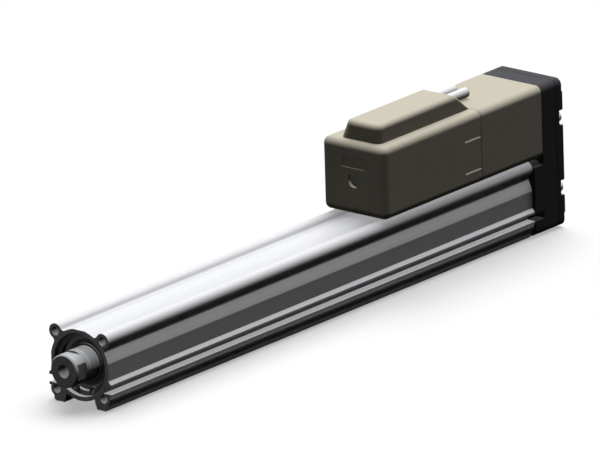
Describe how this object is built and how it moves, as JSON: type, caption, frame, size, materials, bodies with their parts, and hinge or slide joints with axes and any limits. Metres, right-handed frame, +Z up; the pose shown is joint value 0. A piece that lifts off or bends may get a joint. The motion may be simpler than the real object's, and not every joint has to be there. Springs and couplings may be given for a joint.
{
  "type": "electric rod actuator",
  "caption": "Electric rod actuator: a piston rod driven out of an extruded tube by a belt-driven ball screw and a motor mounted parallel on top.",
  "frame": {"origin": "on the rod axis at the front end face of the body tube", "axes": "+X along the rod axis, the way the rod extends; +Y to the right seen from the rod end; +Z up, towards the motor"},
  "size_m": [0.423, 0.046, 0.1004],
  "materials": {
    "anodised_aluminium": "satin clear anodised extrusion",
    "spring_steel": "dark phosphated spring steel",
    "seal_rubber": "matt",
    "bronze": "oil-impregnated bronze",
    "bumper_rubber": "matt",
    "bearing_steel": "ground",
    "steel": "machined",
    "black_casting": "black painted casting",
    "zinc_screws": "bright zinc plate",
    "belt_rubber": "matt",
    "beige_plastic": "fine matt moulded",
    "grey_plug": "matt",
    "cable_jacket": "smooth pale grey sheath",
    "black_plastic": "moulded",
    "motor_casting": "die cast",
    "laminations": "stacked laminations",
    "brake_steel": "machined",
    "circuit_board": "solder mask",
    "chromed_rod": "hard chromed and ground",
    "socket_steel": "nickel plated, machined",
    "piston_aluminium": "machined",
    "magnet": "sintered",
    "white_acetal": "machined acetal",
    "screw_steel": "ground",
    "pulley_aluminium": "machined"
  },
  "bodies": {
    "body": {"body_tube": "anodised_aluminium", "rod_cover": "anodised_aluminium", "bearing_housing": "anodised_aluminium", "retaining_ring": "spring_steel", "cover_seal": "seal_rubber", "rod_scraper": "seal_rubber", "rod_bush": "bronze", "front_bumper": "bumper_rubber", "rear_bumper": "bumper_rubber", "bearing_outer_rings": "bearing_steel", "bearing_shields": "bearing_steel", "motor_bearings": "bearing_steel", "bearing_stopper": "steel", "return_box": "black_casting", "return_plate": "black_casting", "body_screws": "zinc_screws", "return_plate_screws": "zinc_screws", "motor_screws": "zinc_screws", "drive_belt": "belt_rubber", "motor_block": "beige_plastic", "motor_cover": "beige_plastic", "override_plug": "grey_plug", "motor_cable": "cable_jacket", "lock_cable": "cable_jacket", "cable_clamp": "black_plastic", "encoder_case": "black_plastic", "motor_flange": "motor_casting", "motor_end_cap": "motor_casting", "motor_stator": "laminations", "brake_housing": "brake_steel", "encoder_board": "circuit_board"},
    "rod": {"piston_rod": "chromed_rod", "rod_end_socket": "socket_steel", "piston": "piston_aluminium", "ball_nut": "steel", "magnet_ring": "magnet", "wear_ring": "white_acetal", "rotation_stopper": "white_acetal"},
    "screw": {"ball_screw": "screw_steel", "screw_end_support": "white_acetal", "bearing_inner_rings": "bearing_steel", "screw_lock_nut": "steel", "screw_pulley": "pulley_aluminium"},
    "rotor": {"motor_shaft": "screw_steel", "motor_rotor": "magnet", "motor_pulley": "pulley_aluminium", "brake_disc": "brake_steel", "encoder_disc": "steel"}
  },
  "joints": [
    {"name": "rod_slide", "type": "slide", "parent": "body", "child": "rod", "axis": [1, 0, 0], "range_m": [0, 0.25]},
    {"name": "screw_spin", "type": "hinge", "parent": "body", "child": "screw", "pos_m": [0, 0, 0], "axis": [1, 0, 0], "range_deg": [-7500, 0]},
    {"name": "rotor_spin", "type": "hinge", "parent": "body", "child": "rotor", "pos_m": [-0.34, 0, 0.0425], "axis": [1, 0, 0], "range_deg": [-7500, 0]}
  ],
  "couplings": [
    {"joint": "screw_spin", "follows": "rod_slide", "rad_per_m": -523.6},
    {"joint": "rotor_spin", "follows": "rod_slide", "rad_per_m": -523.6}
  ]
}
